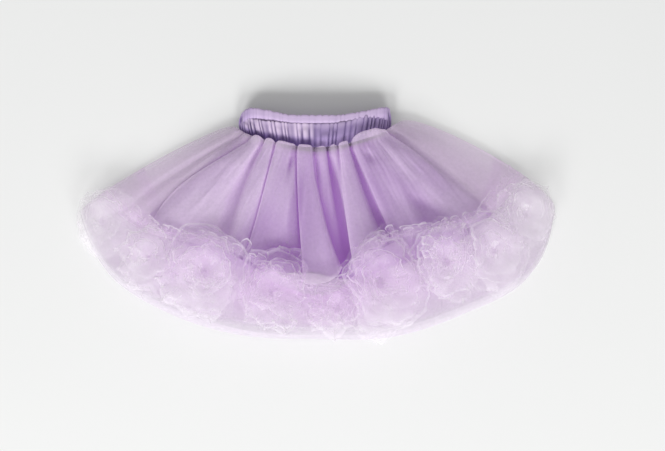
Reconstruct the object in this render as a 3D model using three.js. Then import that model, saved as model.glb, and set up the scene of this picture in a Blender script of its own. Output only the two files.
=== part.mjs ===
// Child's tulle skirt with a rosette hem, laid on its back on a flat surface.
// Millimetres: +X runs across the skirt, +Y from hem to waist, +Z up from the surface.
// Every panel is a wall of cloth swept between two skins, so each mesh is one closed body.

import * as THREE from "three";

// Cloth and seams
const NET_WALL = 2; // the layers of net that a panel is gathered from, pressed together
const LINING_WALL = 1.6;
const BAND_WALL = 3; // casing and the elastic in it
const ROSETTE_WALL = 1.8;
const SEAM_GAP = 0.4; // between a panel's gathered edge and the waistband
const LAYER_GAP = 0.5; // between layers that lie on each other
const HEM_TOP = 2 * NET_WALL + LAYER_GAP; // the front's hem lies on the back's

// Fan that the gathered panels make
const FAN_ANGLE = THREE.MathUtils.degToRad(61); // lean of a side fold from the centre line
const SIDE_EASE = 4.5; // how far the side folds stand out beside the waistband
const BOW_POWER = 0.25; // under 1 makes the side folds puff out near the waist
const SIDE_ROUND = 5; // over 2 keeps the front level and rounds it off at the side folds
const LINING_REACH = 0.78; // share of the fan's width that the lining takes
const LINING_HEM = 0.65; // share of the way to the hem that the lining takes
const LINING_DROP = 3; // how far the lining lies under the valleys of the outer net
const LINING_DROP_END = 0.2; // share of the way to the heading where it has dropped so far
const BACK_HEADING = 0.56; // where the back's hem tier is gathered on, in the same share
const BACK_OVERLAP = 0.06; // how far the back's outer net runs on past that
const BACK_LIFT_START = 0.48; // where the back's layers start to rise over the tier
const BACK_HEM = 0.985; // the back's hem lies just inside the front's
const SEAM_RISE_END = 0.3; // where the front has risen from the waistband to its own height

// Gathers
const BAND_GATHERS = 80;
const BAND_GATHER_DEPTH = 1.6;
const BAND_SWELL = [0.4, 1, 0.6]; // shares of that depth at rim, middle and seam
const WAIST_TUCKS = 20;
const WAIST_TUCK_DEPTH = 2.4;
const WAIST_TUCK_END = 0.4; // share of the way to the heading where the tucks have died away
const FOLD_START = 0.35; // where the large folds have reached their full height
const FOLD_NARROW = 0.6; // their width at the waist, as a share of that at the heading
const FRILL_WAVES = 20;
const FRILL_MEAN = 5; // how far the loose heading stands over the outer net
const FRILL_SWING = 4; // and how much its waves add or take
const TIER_WAVE_DEPTH = 5;
const TIER_RISE_START = 0.25; // share of the tier over which it rises from its heading

// Rosettes
const SWIRL_TURNS = 2.2;
const SWIRL_STEPS = 33;
const SWIRL_WAVES = 7;
const SWIRL_WAVE_DEPTH = 0.05; // share of the rosette's radius
const LIP_WAVE_RISE = 2.5; // how much the strip's upper edge rises and falls
const SWIRL_CORE = 0.18; // share of the radius where the strip starts
const SWIRL_EASE = 0.68; // under 1 packs the outer turns closer than the inner ones
const SWIRL_GAP = 0.8; // between one rosette and the next
const PETAL_FOOT = 0.86; // radius at a petal's foot, as a share of its fullest
const PETAL_LIP = 0.88; // radius at a petal's lip, in the same way
const PETAL_FULLEST = 0.5; // where a petal is fullest, as a share of its height
const OUTER_PETAL_DROP = 0.55; // how much lower the last turn stands than the first
const END_STEPS = 4; // over which the strip's two ends sink in
const END_DROP = 0.5; // how much lower they are, as a share of the height

// How finely the skins are divided
const ACROSS = 80;
const ACROSS_PLAIN = 40;

// Waistband, a section for each sixteenth of the way round from the front's middle.
// rim and seam are the Y of its two edges, z the height of the middle of its wall.
const WAISTBAND = [
  { x: -2, rim: 137, seam: 106, z: 32 },
  { x: 32, rim: 138.5, seam: 109, z: 31.5 },
  { x: 62, rim: 147, seam: 117, z: 27 },
  { x: 86, rim: 155, seam: 125, z: 19 },
  { x: 100, rim: 156, seam: 130, z: 10 },
  { x: 94, rim: 160.5, seam: 129, z: 4 },
  { x: 66, rim: 155, seam: 123, z: 2 },
  { x: 34, rim: 149.5, seam: 119, z: 2 },
  { x: -2, rim: 149, seam: 118, z: 2 },
  { x: -38, rim: 149.5, seam: 119, z: 2 },
  { x: -68, rim: 156, seam: 123, z: 2 },
  { x: -94, rim: 159, seam: 128, z: 4 },
  { x: -105, rim: 150, seam: 130, z: 10 },
  { x: -92, rim: 145, seam: 123, z: 19 },
  { x: -66, rim: 141, seam: 115.5, z: 27 },
  { x: -36, rim: 138, seam: 109, z: 31.5 },
];

// Fan, from one side fold at -1 to the other at 1: length from seam to hem, and how far
// that line of the cloth bows out sideways.
const FAN = [
  { at: -1, length: 250, bow: 20 },
  { at: -0.75, length: 276, bow: 7 },
  { at: -0.5, length: 278, bow: 0 },
  { at: -0.25, length: 273, bow: 0 },
  { at: 0, length: 266, bow: 0 },
  { at: 0.25, length: 276, bow: 0 },
  { at: 0.5, length: 281, bow: 3 },
  { at: 0.75, length: 288, bow: 14 },
  { at: 1, length: 254, bow: 38 },
];

// Line where the hem tier is gathered on, as a share of the length from seam to hem.
const HEADING = [
  { at: -1, down: 0.8 },
  { at: -0.75, down: 0.67 },
  { at: -0.53, down: 0.58 },
  { at: -0.33, down: 0.58 },
  { at: -0.15, down: 0.67 },
  { at: 0.04, down: 0.72 },
  { at: 0.18, down: 0.61 },
  { at: 0.34, down: 0.51 },
  { at: 0.5, down: 0.53 },
  { at: 0.69, down: 0.59 },
  { at: 0.85, down: 0.64 },
  { at: 1, down: 0.71 },
];

// Crests of the large folds of the front's outer net: place across the fan at the waist
// and at the heading, height, and half width at the heading.
const FOLDS = [
  { waist: -0.9, hem: -0.88, height: 5, half: 0.1 },
  { waist: -0.7, hem: -0.59, height: 11, half: 0.13 },
  { waist: -0.52, hem: -0.42, height: 8, half: 0.07 },
  { waist: -0.27, hem: -0.22, height: 12, half: 0.16 },
  { waist: -0.02, hem: 0.04, height: 12, half: 0.08 },
  { waist: 0.2, hem: 0.22, height: 10, half: 0.1 },
  { waist: 0.44, hem: 0.43, height: 12, half: 0.1 },
  { waist: 0.66, hem: 0.63, height: 10, half: 0.12 },
  { waist: 0.9, hem: 0.88, height: 6, half: 0.11 },
];

// Height of the front's lowest valleys over the surface, from seam (0) to heading (1).
const BODY_RISE = [
  { at: 0, z: 30 },
  { at: 0.3, z: 33 },
  { at: 0.7, z: 35 },
  { at: 1, z: 37 },
];

// Height of the hem tier, from its gathered line (0) to the hem (1).
const TIER_RISE = [
  { at: 0, z: 41 },
  { at: 0.25, z: 47 },
  { at: 0.5, z: 46 },
  { at: 0.7, z: 41 },
  { at: 0.85, z: 31 },
  { at: 0.95, z: 16 },
  { at: 1, z: HEM_TOP },
];

// Rosettes on the front of the hem tier, from left to right: centre, half width and half
// length as they lie, height over the tier, and the turn at which the strip starts.
const ROSETTES = [
  { x: -289, y: 2, halfWidth: 41, halfLength: 48, height: 27, start: 0.1 },
  { x: -233, y: -48, halfWidth: 40, halfLength: 46, height: 29, start: 0.6 },
  { x: -156, y: -68, halfWidth: 64, halfLength: 60, height: 38, start: 0.3 },
  { x: -54, y: -94, halfWidth: 52, halfLength: 50, height: 30, start: 0.8 },
  { x: 20, y: -116, halfWidth: 38, halfLength: 36, height: 26, start: 0.2 },
  { x: 98, y: -82, halfWidth: 60, halfLength: 68, height: 40, start: 0.45 },
  { x: 172, y: -52, halfWidth: 46, halfLength: 58, height: 34, start: 0.9 },
  { x: 244, y: -38, halfWidth: 46, halfLength: 58, height: 33, start: 0.15 },
  { x: 290, y: 12, halfWidth: 37, halfLength: 48, height: 28, start: 0.2 },
];

const FINISH = {
  band: new THREE.MeshStandardMaterial({ color: 0x9a86b8, roughness: 0.7, metalness: 0 }),
  lining: new THREE.MeshStandardMaterial({ color: 0x9c70b2, roughness: 0.6, metalness: 0 }),
  net: new THREE.MeshStandardMaterial({ color: 0xc6b2da, roughness: 0.8, metalness: 0 }),
  ruffle: new THREE.MeshStandardMaterial({ color: 0xe0d0ec, roughness: 0.85, metalness: 0 }),
};

const { clamp, lerp, smoothstep } = THREE.MathUtils;

// Column of a table at a place between its rows, on a smooth curve through them.
function read(table, column, at) {
  const last = table.length - 1;
  let i = 0;
  while (i < last - 1 && at > table[i + 1].at) i++;
  const slope = (k) => {
    const before = table[Math.max(k - 1, 0)];
    const after = table[Math.min(k + 1, last)];
    return (after[column] - before[column]) / (after.at - before.at);
  };
  const span = table[i + 1].at - table[i].at;
  const w = clamp((at - table[i].at) / span, 0, 1);
  return (
    table[i][column] * (1 + 2 * w) * (1 - w) ** 2 +
    slope(i) * span * w * (1 - w) ** 2 +
    table[i + 1][column] * w * w * (3 - 2 * w) +
    slope(i + 1) * span * w * w * (w - 1)
  );
}

// The same for the waistband's table, whose last row runs on into its first.
function readRound(column, turn) {
  const place = (((turn % 1) + 1) % 1) * WAISTBAND.length;
  const i = Math.floor(place);
  const w = place - i;
  const [a, b, c, d] = [-1, 0, 1, 2].map(
    (k) => WAISTBAND[(i + k + WAISTBAND.length) % WAISTBAND.length][column],
  );
  return b + 0.5 * w * (c - a + w * (2 * a - 5 * b + 4 * c - d + w * (3 * (b - c) + d - a)));
}

// Closed wall through sections, each with the points of its outer and its inner skin.
function wall(name, material, sections, round) {
  const points = sections.flatMap(({ outer, inner }) => [...outer, ...inner]);
  const length = sections[0].outer.length;
  const corner = (i, side, j) => ((i % sections.length) * 2 + side) * length + j;
  const index = [];
  const quad = (a, b, c, d) => index.push(a, b, c, a, c, d);
  const spans = round ? sections.length : sections.length - 1;
  for (let i = 0; i < spans; i++) {
    for (let j = 0; j < length - 1; j++) {
      quad(corner(i, 0, j), corner(i, 0, j + 1), corner(i + 1, 0, j + 1), corner(i + 1, 0, j));
      quad(corner(i, 1, j), corner(i + 1, 1, j), corner(i + 1, 1, j + 1), corner(i, 1, j + 1));
    }
    quad(corner(i, 0, 0), corner(i + 1, 0, 0), corner(i + 1, 1, 0), corner(i, 1, 0));
    const j = length - 1;
    quad(corner(i, 0, j), corner(i, 1, j), corner(i + 1, 1, j), corner(i + 1, 0, j));
  }
  for (let j = 0; j < length - 1 && !round; j++) {
    quad(corner(0, 0, j), corner(0, 1, j), corner(0, 1, j + 1), corner(0, 0, j + 1));
    quad(corner(spans, 0, j), corner(spans, 0, j + 1), corner(spans, 1, j + 1), corner(spans, 1, j));
  }
  const geometry = new THREE.BufferGeometry().setFromPoints(points);
  geometry.setIndex(index);
  geometry.computeVertexNormals();
  const mesh = new THREE.Mesh(geometry, material);
  mesh.name = name;
  return mesh;
}

// Panel of cloth over the fan. lines run from waist to hem, and top(u, line) is a point of
// its upper skin. The lower skin is a wall's thickness under it.
function panel(name, material, across, reach, lines, thickness, top) {
  const sections = [];
  for (let i = 0; i <= across; i++) {
    const u = reach * ((2 * i) / across - 1);
    const outer = lines.map((line) => top(u, line));
    const inner = outer.map((p) => new THREE.Vector3(p.x, p.y, p.z - thickness));
    sections.push({ outer, inner });
  }
  return wall(name, material, sections, false);
}

// Place on the fan, seen from above. u runs across it and v from the seam to the hem.
function plan(u, v, turn) {
  const lean = FAN_ANGLE * u;
  const reach = read(FAN, "length", u) * v;
  const bow = read(FAN, "bow", u) * Math.sin(Math.PI * clamp(v, 0, 1)) ** BOW_POWER;
  const ease = SIDE_EASE * u ** 9;
  return [
    readRound("x", turn) + ease + Math.sin(lean) * reach + Math.sign(u) * Math.cos(lean) * bow,
    readRound("seam", turn) - SEAM_GAP - Math.cos(lean) * reach + Math.abs(Math.sin(lean)) * bow,
  ];
}

const frontPlan = (u, v) => plan(u, v, u / 4);
const backPlan = (u, v) => plan(u, v, 0.5 - u / 4);
const headingAt = (u) => read(HEADING, "down", u);
const crown = (u) => 1 - Math.abs(u) ** SIDE_ROUND;

// Height of the front's side folds, which lie on the back where its layers cross.
const SIDE_TOP = 3 * NET_WALL + 2 * LAYER_GAP;

// How much the back's layers rise where they pass over the heading of its hem tier.
const backLift = (v) => (NET_WALL + LAYER_GAP) * smoothstep(v, BACK_LIFT_START, BACK_HEADING);

// Height of the valleys of the outer net, s of the way from the seam to the heading.
function valleyZ(u, s) {
  const open = lerp(SIDE_TOP, read(BODY_RISE, "z", s), crown(u));
  const seam = readRound("z", u / 4) + NET_WALL / 2;
  return lerp(seam, open, smoothstep(s, 0, SEAM_RISE_END));
}

// Upper skin of the outer net: large folds, and small tucks that die away from the seam.
function outerZ(u, s) {
  let z = valleyZ(u, s);
  for (const fold of FOLDS) {
    const half = fold.half * lerp(FOLD_NARROW, 1, s);
    const off = clamp((u - lerp(fold.waist, fold.hem, s)) / half, -1, 1);
    z += fold.height * smoothstep(s, 0, FOLD_START) * Math.cos((off * Math.PI) / 2) ** 2 * crown(u);
  }
  const tuck = 0.5 - 0.5 * Math.cos(Math.PI * WAIST_TUCKS * (u + 1));
  return z + WAIST_TUCK_DEPTH * tuck * (1 - smoothstep(s, 0, WAIST_TUCK_END)) * crown(u);
}

function waistband() {
  const sections = [];
  const count = BAND_GATHERS * 2;
  for (let i = 0; i < count; i++) {
    const turn = i / count;
    const [x, z] = [readRound("x", turn), readRound("z", turn)];
    const step = 0.25 / WAISTBAND.length;
    const ahead = new THREE.Vector2(readRound("x", turn + step), readRound("z", turn + step));
    const behind = new THREE.Vector2(readRound("x", turn - step), readRound("z", turn - step));
    const out = ahead.sub(behind).normalize().rotateAround(new THREE.Vector2(), Math.PI / 2);
    const gather = i % 2 ? BAND_GATHER_DEPTH : 0;
    const [rim, seam] = [readRound("rim", turn), readRound("seam", turn)];
    const skin = (away, j) =>
      new THREE.Vector3(x + out.x * away, lerp(rim, seam, j / 2), Math.max(z + out.y * away, 0));
    sections.push({
      outer: BAND_SWELL.map((share, j) => skin(BAND_WALL / 2 + gather * share, j)),
      inner: BAND_SWELL.map((_, j) => skin(-BAND_WALL / 2, j)),
    });
  }
  return wall("waistband", FINISH.band, sections, true);
}

function outerFront() {
  const lines = [0, 0.02, 0.09, 0.2, 0.36, 0.52, 0.68, 0.82, 0.93, 1, 1.06];
  return panel("outer_front", FINISH.net, ACROSS, 1, lines, NET_WALL, (u, s) => {
    const [x, y] = frontPlan(u, headingAt(u) * s);
    return new THREE.Vector3(x, y, outerZ(u, s));
  });
}

function liningFront() {
  const lines = [0.03, 0.09, 0.2, 0.36, 0.68, 1, 1.3];
  return panel("lining_front", FINISH.lining, ACROSS_PLAIN, LINING_REACH, lines, LINING_WALL, (u, s) => {
    const [x, y] = frontPlan(u, Math.min(headingAt(u) * s, LINING_HEM));
    const drop = LINING_DROP * crown(u) * smoothstep(s, 0, LINING_DROP_END);
    const under = NET_WALL + LAYER_GAP + drop;
    return new THREE.Vector3(x, y, valleyZ(u, Math.min(s, 1)) - under);
  });
}

function outerBack() {
  const lines = [0, 0.25, BACK_LIFT_START, BACK_HEADING, BACK_HEADING + BACK_OVERLAP];
  return panel("outer_back", FINISH.net, ACROSS_PLAIN, 1, lines, NET_WALL, (u, v) => {
    const [x, y] = backPlan(u, v);
    return new THREE.Vector3(x, y, NET_WALL + backLift(v));
  });
}

function liningBack() {
  const lines = [0.04, 0.3, BACK_LIFT_START, BACK_HEADING, LINING_HEM];
  return panel("lining_back", FINISH.lining, ACROSS_PLAIN, LINING_REACH, lines, LINING_WALL, (u, v) => {
    const [x, y] = backPlan(u, v);
    return new THREE.Vector3(x, y, NET_WALL + LAYER_GAP + LINING_WALL + backLift(v));
  });
}

function tierBack() {
  const lines = [BACK_HEADING, 0.78, BACK_HEM];
  return panel("hem_tier_back", FINISH.ruffle, ACROSS_PLAIN, 1, lines, NET_WALL, (u, v) => {
    const [x, y] = backPlan(u, v);
    return new THREE.Vector3(x, y, NET_WALL);
  });
}

// Lines of the hem tier: s under 1.06 is on the outer net, q is from there to the hem.
const TIER_LINES = [
  { s: 0.93, q: 0 },
  { s: 1, q: 0 },
  { s: 1.06, q: 0 },
  ...[0.25, 0.5, 0.7, 0.85, 0.95, 1].map((q) => ({ s: 1.06, q })),
];

function tierTop(u, { s, q }) {
  const wave = Math.cos(Math.PI * FRILL_WAVES * (u + 1));
  const gathered = headingAt(u) * s;
  const [x, y] = frontPlan(u, lerp(gathered, 1, q));
  const lying = outerZ(u, s) + NET_WALL + LAYER_GAP;
  if (s < 1) return new THREE.Vector3(x, y, lying + (FRILL_MEAN + FRILL_SWING * wave) * crown(u));
  const puffed = lerp(lerp(SIDE_TOP, HEM_TOP, q), read(TIER_RISE, "z", q), crown(u));
  const flute = 2 * TIER_WAVE_DEPTH * wave * (1 - q) * q * crown(u);
  return new THREE.Vector3(x, y, lerp(lying, puffed + flute, smoothstep(q, 0, TIER_RISE_START)));
}

function tierFront() {
  return panel("hem_tier_front", FINISH.ruffle, ACROSS, 1, TIER_LINES, NET_WALL, tierTop);
}

// Height of a mesh's upper skin over a place, or the surface's height outside it.
function heightOver(meshes) {
  const faces = meshes.flatMap(({ geometry }) => {
    const at = geometry.getAttribute("position");
    const corners = [...geometry.index.array].map((k) => new THREE.Vector3().fromBufferAttribute(at, k));
    return corners.flatMap((p, k) => (k % 3 ? [] : [new THREE.Triangle(p, corners[k + 1], corners[k + 2])]));
  });
  const plain = faces.filter((face) => face.getNormal(new THREE.Vector3()).z > 0);
  const flat = plain.map(
    ({ a, b, c }) => new THREE.Triangle(...[a, b, c].map((p) => new THREE.Vector3(p.x, p.y, 0))),
  );
  const share = new THREE.Vector3();
  return (x, y) => {
    let z = SIDE_TOP;
    const place = new THREE.Vector3(x, y, 0);
    flat.forEach((face, k) => {
      if (!face.containsPoint(place)) return;
      face.getBarycoord(place, share);
      z = Math.max(z, share.x * plain[k].a.z + share.y * plain[k].b.z + share.z * plain[k].c.z);
    });
    return z;
  };
}

// Radius of a rosette towards an angle: an ellipse, pressed flat where it meets the next.
function reachOf(rosette, angle) {
  const [cos, sin] = [Math.cos(angle), Math.sin(angle)];
  let radius = 1 / Math.hypot(cos / rosette.halfWidth, sin / rosette.halfLength);
  for (const other of ROSETTES) {
    if (other === rosette) continue;
    const [dx, dy] = [other.x - rosette.x, other.y - rosette.y];
    const apart = Math.hypot(dx, dy);
    const towards = (dx * cos + dy * sin) / apart;
    const mine = (apart * rosette.halfWidth) / (rosette.halfWidth + other.halfWidth);
    if (towards > 0) radius = Math.min(radius, (mine - SWIRL_GAP) / towards);
  }
  return radius;
}

// Radii of a rosette's strip along its roll, as shares of the rosette's reach.
function roll(spec) {
  return [...Array(SWIRL_STEPS + 1).keys()].map((i) => {
    const share = i / SWIRL_STEPS;
    const angle = 2 * Math.PI * (spec.start + SWIRL_TURNS * share);
    const wave = Math.sin(2 * Math.PI * SWIRL_WAVES * share);
    const spread = lerp(SWIRL_CORE, 1 - SWIRL_WAVE_DEPTH, share ** SWIRL_EASE);
    const end = Math.min(1, i / END_STEPS, (SWIRL_STEPS - i) / END_STEPS);
    const fullest = reachOf(spec, angle) * (spread + SWIRL_WAVE_DEPTH * wave);
    return { share, angle, wave, end, fullest, foot: 0 };
  });
}

// One rosette: a strip rolled outwards from its core, each turn cupped like a petal and
// standing lower than the one inside it. Its foot follows what it is sewn to.
function rosette(k, over) {
  const spec = ROSETTES[k];
  const turns = roll(spec);
  const skins = [-ROSETTE_WALL / 2, ROSETTE_WALL / 2];
  const place = (t, radius) => [spec.x + Math.cos(t.angle) * radius, spec.y + Math.sin(t.angle) * radius];
  const footOf = (t, side) => place(t, t.fullest * PETAL_FOOT + skins[side]);
  for (const t of turns) t.foot = Math.max(over(...footOf(t, 0)), over(...footOf(t, 1)));
  for (let i = 0; i < SWIRL_STEPS; i++) {
    for (const side of [0, 1]) {
      const [a, b] = [footOf(turns[i], side), footOf(turns[i + 1], side)];
      for (const w of [0.25, 0.5, 0.75]) {
        const under = over(lerp(a[0], b[0], w), lerp(a[1], b[1], w));
        const short = under - lerp(turns[i].foot, turns[i + 1].foot, w);
        if (short > 0) for (const t of [turns[i], turns[i + 1]]) t.foot += short;
      }
    }
  }
  const middle = over(spec.x, spec.y);
  const sections = turns.map((t) => {
    const low = t.foot + LAYER_GAP;
    const rise = spec.height * (1 - OUTER_PETAL_DROP * t.share ** 2) * lerp(END_DROP, 1, t.end);
    const high = lerp(low, Math.max(low, middle), 1 - t.share ** 2) + rise + LIP_WAVE_RISE * t.wave;
    const profile = [
      [PETAL_LIP, high],
      [1, lerp(low, high, PETAL_FULLEST)],
      [PETAL_FOOT, low],
    ];
    const [inner, outer] = skins.map((away) =>
      profile.map(([share, z]) => new THREE.Vector3(...place(t, t.fullest * share + away), z)),
    );
    return { outer, inner };
  });
  return wall(`rosette_${k + 1}`, FINISH.ruffle, sections, false);
}

const skirt = new THREE.Group();
const [outer, tier] = [outerFront(), tierFront()];
skirt.add(waistband(), outer, liningFront(), tier, outerBack(), liningBack(), tierBack());
const over = heightOver([outer, tier]);
for (let k = 0; k < ROSETTES.length; k++) skirt.add(rosette(k, over));

export default skirt;
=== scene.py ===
"""Child's tulle skirt with a rosette hem, laid on its back: its cloth, its finishes, the light and the camera."""

import math
from bisect import bisect_right
from functools import lru_cache

import bmesh
import bpy
from bpy.props import FloatProperty, FloatVectorProperty, IntProperty, PointerProperty
from mathutils import Matrix, Vector, noise


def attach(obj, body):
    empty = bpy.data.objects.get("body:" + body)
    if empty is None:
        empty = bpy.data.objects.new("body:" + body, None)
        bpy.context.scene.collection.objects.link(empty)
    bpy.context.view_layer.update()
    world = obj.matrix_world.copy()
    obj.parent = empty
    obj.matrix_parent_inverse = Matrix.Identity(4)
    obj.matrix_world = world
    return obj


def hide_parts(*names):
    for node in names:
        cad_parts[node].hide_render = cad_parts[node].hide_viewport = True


bl_info = {
    "name": "Tulle Skirt",
    "version": (1, 0, 0),
    "blender": (4, 5, 0),
    "location": "View3D > Sidebar > Skirt",
    "description": "Gathered tulle skirt with a shirred waistband, a sheer hem tier and nine rosettes",
    "category": "Object",
}

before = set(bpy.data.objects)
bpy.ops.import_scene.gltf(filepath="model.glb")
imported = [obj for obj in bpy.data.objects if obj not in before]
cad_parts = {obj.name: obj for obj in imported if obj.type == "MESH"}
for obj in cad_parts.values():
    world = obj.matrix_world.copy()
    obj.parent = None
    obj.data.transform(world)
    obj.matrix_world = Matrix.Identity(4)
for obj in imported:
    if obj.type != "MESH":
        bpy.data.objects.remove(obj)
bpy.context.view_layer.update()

MM = 0.001  # the shapes below are worked out in millimetres

# Cloth of the solids
NET_WALL = 2.0
BAND_WALL = 3.0
SEAM_GAP = 0.4
LAYER_GAP = 0.5
HEM_TOP = 2 * NET_WALL + LAYER_GAP
SIDE_TOP = 3 * NET_WALL + 2 * LAYER_GAP

# Fan that the gathered panels make
FAN_ANGLE = math.radians(61)  # how far its side folds lean outwards
SIDE_EASE = 4.5  # how far they start outside the casing's ends
BOW_POWER = 0.25
SIDE_ROUND = 5  # the higher, the more of the front is full
LINING_REACH = 0.78
LINING_HEM = 0.65
LINING_DROP = 3.0
LINING_DROP_END = 0.2
BACK_HEADING = 0.56
BACK_OVERLAP = 0.06
BACK_LIFT_START = 0.48
BACK_HEM = 0.985
SEAM_RISE_END = 0.3


def table(names, *rows):
    """Rows of numbers, each read by the names of its columns."""
    return [dict(zip(names.split(), row)) for row in rows]


# Waistband, a row for each sixteenth of the way round from the front's middle: x, the Y of
# its rim and of its seam, and the height of the middle of its wall.
WAISTBAND = table(
    "x rim seam z",
    (-2, 137, 106, 32),
    (32, 138.5, 109, 31.5),
    (62, 147, 117, 27),
    (86, 155, 125, 19),
    (100, 156, 130, 10),
    (94, 160.5, 129, 4),
    (66, 155, 123, 2),
    (34, 149.5, 119, 2),
    (-2, 149, 118, 2),
    (-38, 149.5, 119, 2),
    (-68, 156, 123, 2),
    (-94, 159, 128, 4),
    (-105, 150, 130, 10),
    (-92, 145, 123, 19),
    (-66, 141, 115.5, 27),
    (-36, 138, 109, 31.5),
)

# Fan, from one side fold at -1 to the other at 1: length from seam to hem, and sideways bow.
FAN = table(
    "at length bow",
    (-1, 250, 20), (-0.75, 276, 7), (-0.5, 278, 0), (-0.25, 273, 0), (0, 266, 0), (0.25, 276, 0),
    (0.5, 281, 3), (0.75, 288, 14), (1, 254, 38),
)

# Line where the hem tier is gathered on, as a share of the length from seam to hem.
HEADING = table(
    "at down",
    (-1, 0.8), (-0.75, 0.67), (-0.53, 0.58), (-0.33, 0.58), (-0.15, 0.67), (0.04, 0.72),
    (0.18, 0.61), (0.34, 0.51), (0.5, 0.53), (0.69, 0.59), (0.85, 0.64), (1, 0.71),
)

BODY_RISE = table(
    "at z",
    (0, 30), (0.3, 33), (0.7, 35), (1, 37),
)

TIER_RISE = table(
    "at z",
    (0, 41), (0.25, 47), (0.5, 46), (0.7, 41), (0.85, 31), (0.95, 16), (1, HEM_TOP),
)

# Lines of the outer net's folds, from the left side fold to the right one: place across the
# fan at the waist, half way and at the heading, and height over the valleys there.
FOLD_LINES = table(
    "waist middle heading high mid low",
    (-1.0, -1.0, -1.0, 0, 0, 0),
    (-0.92, -0.95, -0.94, 5, 6, 5),
    (-0.85, -0.9, -0.89, 5, 5, 4),
    (-0.8, -0.86, -0.87, 1, 0, 0),
    (-0.765, -0.83, -0.835, 5, 5, 4),
    (-0.72, -0.8, -0.8, 5, 5, 3),
    (-0.685, -0.775, -0.76, 2, 4, 4),
    (-0.665, -0.785, -0.755, 6, 8, 6),
    (-0.64, -0.765, -0.735, 9, 12, 9),
    (-0.61, -0.69, -0.66, 10, 13, 12),
    (-0.585, -0.61, -0.57, 9, 12, 12),
    (-0.565, -0.56, -0.5, 6, 8, 8),
    (-0.55, -0.52, -0.465, 0, 0, 1),
    (-0.535, -0.49, -0.44, 0, 0, 1),
    (-0.52, -0.465, -0.41, 7, 7, 6),
    (-0.48, -0.42, -0.375, 10, 10, 9),
    (-0.435, -0.365, -0.345, 8, 8, 6),
    (-0.41, -0.34, -0.325, 0, 0, 0),
    (-0.4, -0.345, -0.322, 5, 7, 4),
    (-0.375, -0.325, -0.31, 9, 12, 8),
    (-0.31, -0.25, -0.24, 10, 12, 7),
    (-0.245, -0.18, -0.16, 9, 11, 4),
    (-0.205, -0.125, -0.09, 8, 8, 2),
    (-0.18, -0.1, -0.055, 1, 0, 0),
    (-0.17, -0.1, -0.05, 6, 8, 9),
    (-0.155, -0.085, -0.035, 9, 12, 13),
    (-0.1, -0.02, 0.03, 10, 12, 13),
    (-0.045, 0.03, 0.09, 9, 10, 12),
    (-0.015, 0.05, 0.12, 2, 1, 2),
    (0.0, 0.06, 0.115, 5, 2, 0),
    (0.05, 0.085, 0.125, 8, 4, 0),
    (0.09, 0.11, 0.135, 7, 4, -1),
    (0.115, 0.13, 0.145, 0, -2, -2),
    (0.135, 0.155, 0.158, 5, -1, -1),
    (0.175, 0.172, 0.166, 9, 3, 4),
    (0.215, 0.18, 0.168, 4, 9, 9),
    (0.235, 0.205, 0.2, 9, 12, 12),
    (0.275, 0.25, 0.26, 10, 11, 11),
    (0.315, 0.3, 0.32, 8, 7, 6),
    (0.335, 0.33, 0.35, 1, 0, 0),
    (0.355, 0.355, 0.37, 3, 0, 0),
    (0.38, 0.375, 0.38, 8, 8, 6),
    (0.42, 0.4, 0.4, 10, 11, 9),
    (0.48, 0.47, 0.46, 11, 12, 11),
    (0.56, 0.56, 0.55, 11, 13, 11),
    (0.65, 0.66, 0.64, 12, 14, 12),
    (0.72, 0.735, 0.69, 10, 12, 11),
    (0.75, 0.765, 0.715, 7, 10, 9),
    (0.755, 0.775, 0.74, 2, 7, 7),
    (0.79, 0.81, 0.8, 4, 5, 5),
    (0.86, 0.87, 0.86, 8, 7, 6),
    (0.93, 0.94, 0.94, 6, 6, 5),
    (1.0, 1.0, 1.0, 0, 0, 0),
)
FOLD_STATIONS = (0.05, 0.48, 0.95)  # share of the way to the heading where those hold

# Dents and soft swellings of the panels between them: place, half size and depth.
DENTS = table(
    "u s half_u half_s depth",
    (-0.215, 0.13, 0.035, 0.13, 8),
    (0.012, 0.17, 0.035, 0.14, 6),
    (0.47, 0.17, 0.05, 0.08, 4),
    (0.59, 0.74, 0.06, 0.16, 8),
    (-0.6, 0.95, 0.09, 0.15, 4),
    (-0.17, 0.9, 0.09, 0.22, 5),
    (0.7, 0.2, 0.07, 0.12, -3),
)

# Rosettes from left to right: centre, half width and half length, height over the tier,
# where the strip starts, its turns, how far its lips lean to the waist, its ruffling and
# how pale its net is.
ROSETTES = table(
    "x y wide long height start turns lean frill pale",
    (-289, 2, 41, 48, 27, 0.1, 4.6, 0.2, 0.7, 1.0),
    (-233, -48, 40, 46, 29, 0.6, 5.2, 0.35, 1.1, 0.92),
    (-156, -68, 64, 60, 38, 0.3, 6.4, 0.35, 1.0, 0.72),
    (-54, -94, 52, 50, 30, 0.8, 5.6, 0.4, 1.2, 0.5),
    (20, -116, 38, 36, 26, 0.2, 4.6, 0.4, 0.9, 0.5),
    (98, -82, 60, 68, 40, 0.45, 6.4, 0.35, 0.9, 0.55),
    (172, -52, 46, 58, 34, 0.9, 5.6, 0.45, 1.2, 0.75),
    (244, -38, 46, 58, 33, 0.15, 5.6, 0.3, 0.8, 0.85),
    (290, 12, 37, 48, 28, 0.2, 4.6, 0.2, 0.7, 0.95),
)


def clamp(value, low=0.0, high=1.0):
    """The value, held between two others."""
    return max(low, min(high, value))


def lerp(a, b, share):
    """Straight line from a, at share 0, to b, at share 1."""
    return a + (b - a) * share


def smooth(value, low, high):
    """0 up to low and 1 from high on, with a soft step between them."""
    share = clamp((value - low) / (high - low))
    return share * share * (3 - 2 * share)


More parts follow.
